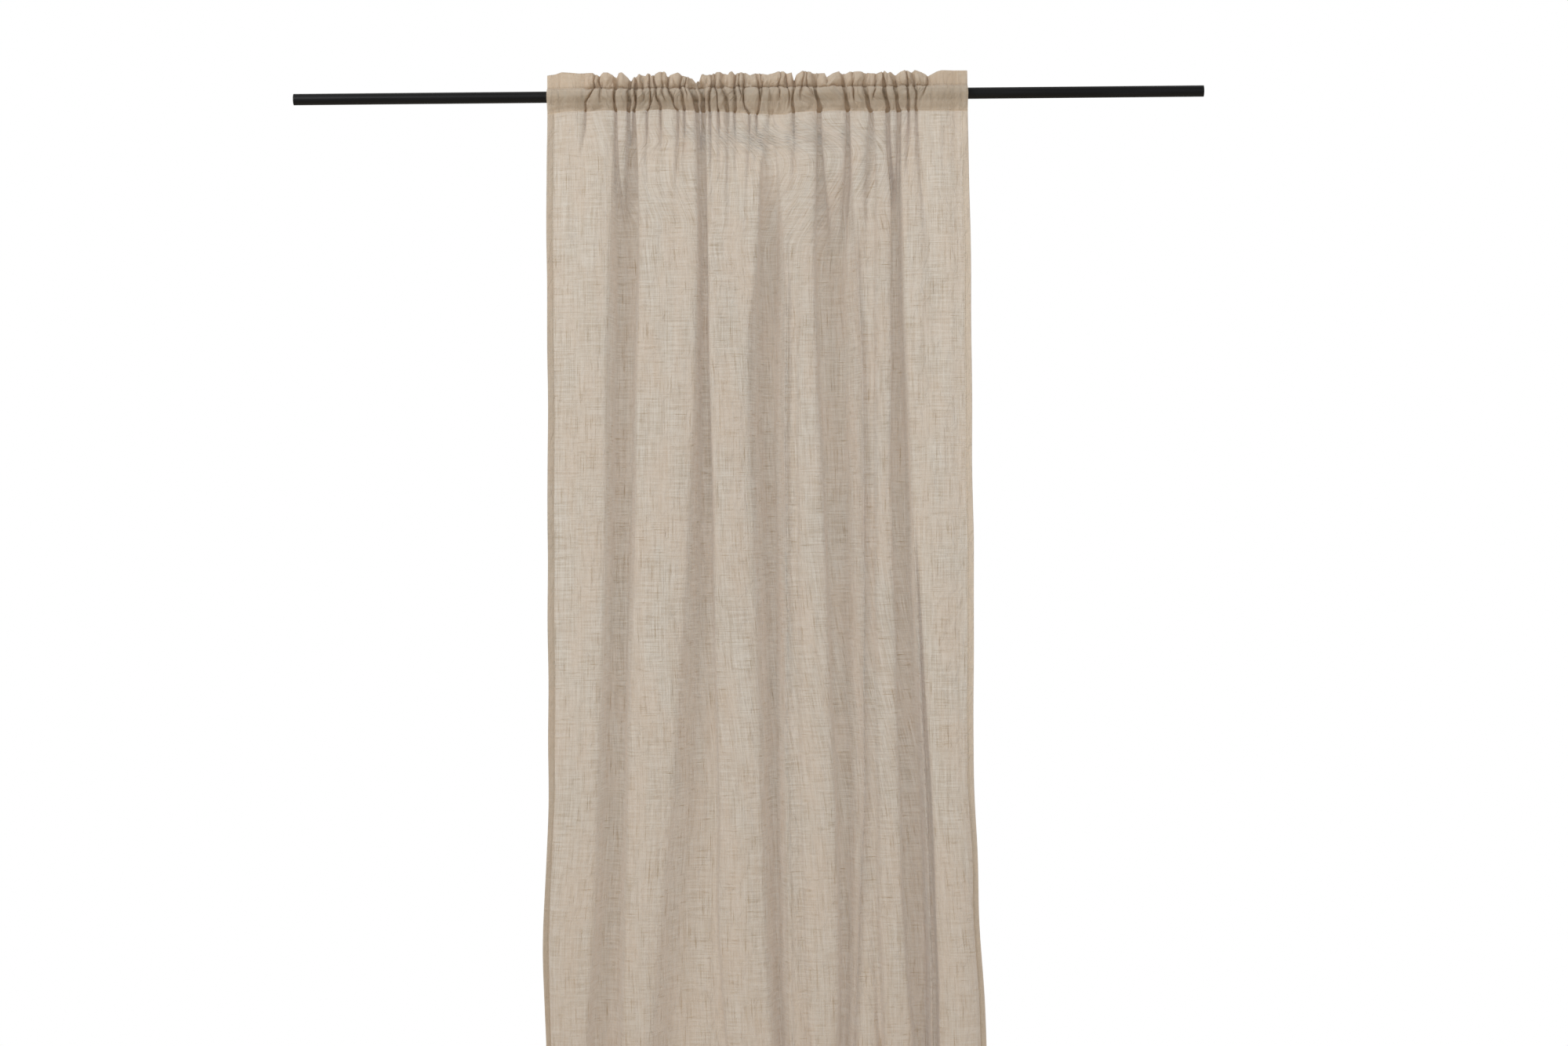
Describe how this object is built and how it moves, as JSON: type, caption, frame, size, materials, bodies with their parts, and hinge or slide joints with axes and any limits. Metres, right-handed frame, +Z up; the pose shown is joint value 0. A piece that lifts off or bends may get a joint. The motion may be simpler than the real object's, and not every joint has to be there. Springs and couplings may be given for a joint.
{
  "type": "rod pocket curtain panel",
  "caption": "Semi-sheer linen curtain panel with a heading frill and rod pocket, gathered on a plain round black rod along which it slides and draws.",
  "frame": {"origin": "on the rod's axis, at the middle of its length, level with the brackets that would hold it", "axes": "+X along the rod to the right as seen from the front, +Y from the room side to the window side, +Z up; the panel hangs down along -Z and faces -Y"},
  "size_m": [1.6, 0.0853, 2.3911],
  "materials": {
    "rod_paint": "satin black enamel on steel tube",
    "plug_plastic": "fine matt moulded black",
    "linen": "semi-sheer plain-woven beige linen with slubs",
    "sewing_thread": "beige spun polyester thread",
    "label_tape": "blank off-white satin tape"
  },
  "bodies": {
    "rod": {"rod_tube": "rod_paint", "rod_end_plug_left": "plug_plastic", "rod_end_plug_right": "plug_plastic"},
    "panel": {"heading_frill": "linen", "heading_seam_needle_thread": "sewing_thread", "heading_seam_bobbin_thread": "sewing_thread", "pocket_front": "linen", "pocket_back": "linen", "pocket_seam_needle_thread": "sewing_thread", "pocket_seam_bobbin_thread": "sewing_thread", "panel_cloth": "linen", "left_side_hem": "linen", "left_side_hem_needle_thread": "sewing_thread", "left_side_hem_bobbin_thread": "sewing_thread", "bottom_hem": "linen", "bottom_hem_needle_thread": "sewing_thread", "bottom_hem_bobbin_thread": "sewing_thread", "care_label": "label_tape"},
    "leading_edge": {"right_side_hem": "linen", "right_side_hem_needle_thread": "sewing_thread", "right_side_hem_bobbin_thread": "sewing_thread"}
  },
  "joints": [
    {"name": "panel_slide", "type": "slide", "parent": "rod", "child": "panel", "axis": [1, 0, 0], "range_m": [-0.44, 0.41]},
    {"name": "gather", "type": "slide", "parent": "panel", "child": "leading_edge", "axis": [1, 0, 0], "range_m": [-0.42, 0], "deforming": ["heading_frill", "pocket_front", "pocket_back", "panel_cloth", "bottom_hem", "heading_seam_needle_thread", "heading_seam_bobbin_thread", "pocket_seam_needle_thread", "pocket_seam_bobbin_thread", "bottom_hem_needle_thread", "bottom_hem_bobbin_thread"]}
  ]
}
